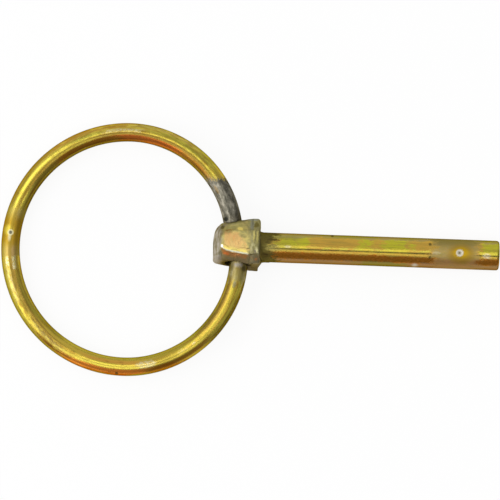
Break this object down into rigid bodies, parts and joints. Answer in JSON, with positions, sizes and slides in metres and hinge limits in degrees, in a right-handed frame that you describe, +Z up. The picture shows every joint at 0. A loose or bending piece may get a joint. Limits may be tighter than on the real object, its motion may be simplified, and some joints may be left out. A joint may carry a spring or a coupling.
{
  "type": "lynch pin",
  "caption": "Forged lynch pin: a round shank with a collar and bevelled head, and a sprung wire ring that swings over and closes on the shank to lock it.",
  "frame": {"origin": "on the surface it lies on, under the middle of the object's box, with the pin lying as it comes to rest on its collar, its tip and the ring's far side", "axes": "+X along the shank towards the tip, +Y across the head towards the socket whose wire end is set back from the collar, +Z up"},
  "size_m": [0.1066, 0.0541, 0.0104],
  "materials": {
    "plated_forging": "yellow zinc plate over forged steel, glossy, mottled, dull near the collar and the tip",
    "plated_wire": "yellow zinc plate over drawn spring steel, glossy, worn to bare grey steel beside the head"
  },
  "bodies": {
    "pin": {"pin": "plated_forging"},
    "ring": {"ring": "plated_wire"}
  },
  "joints": [
    {"name": "ring_swing", "type": "hinge", "parent": "pin", "child": "ring", "pos_m": [-0.00303, 0.00155, 0.00537], "axis": [-0.0871, 0.9962, 0.0034], "range_deg": [-167.4, 180]}
  ]
}
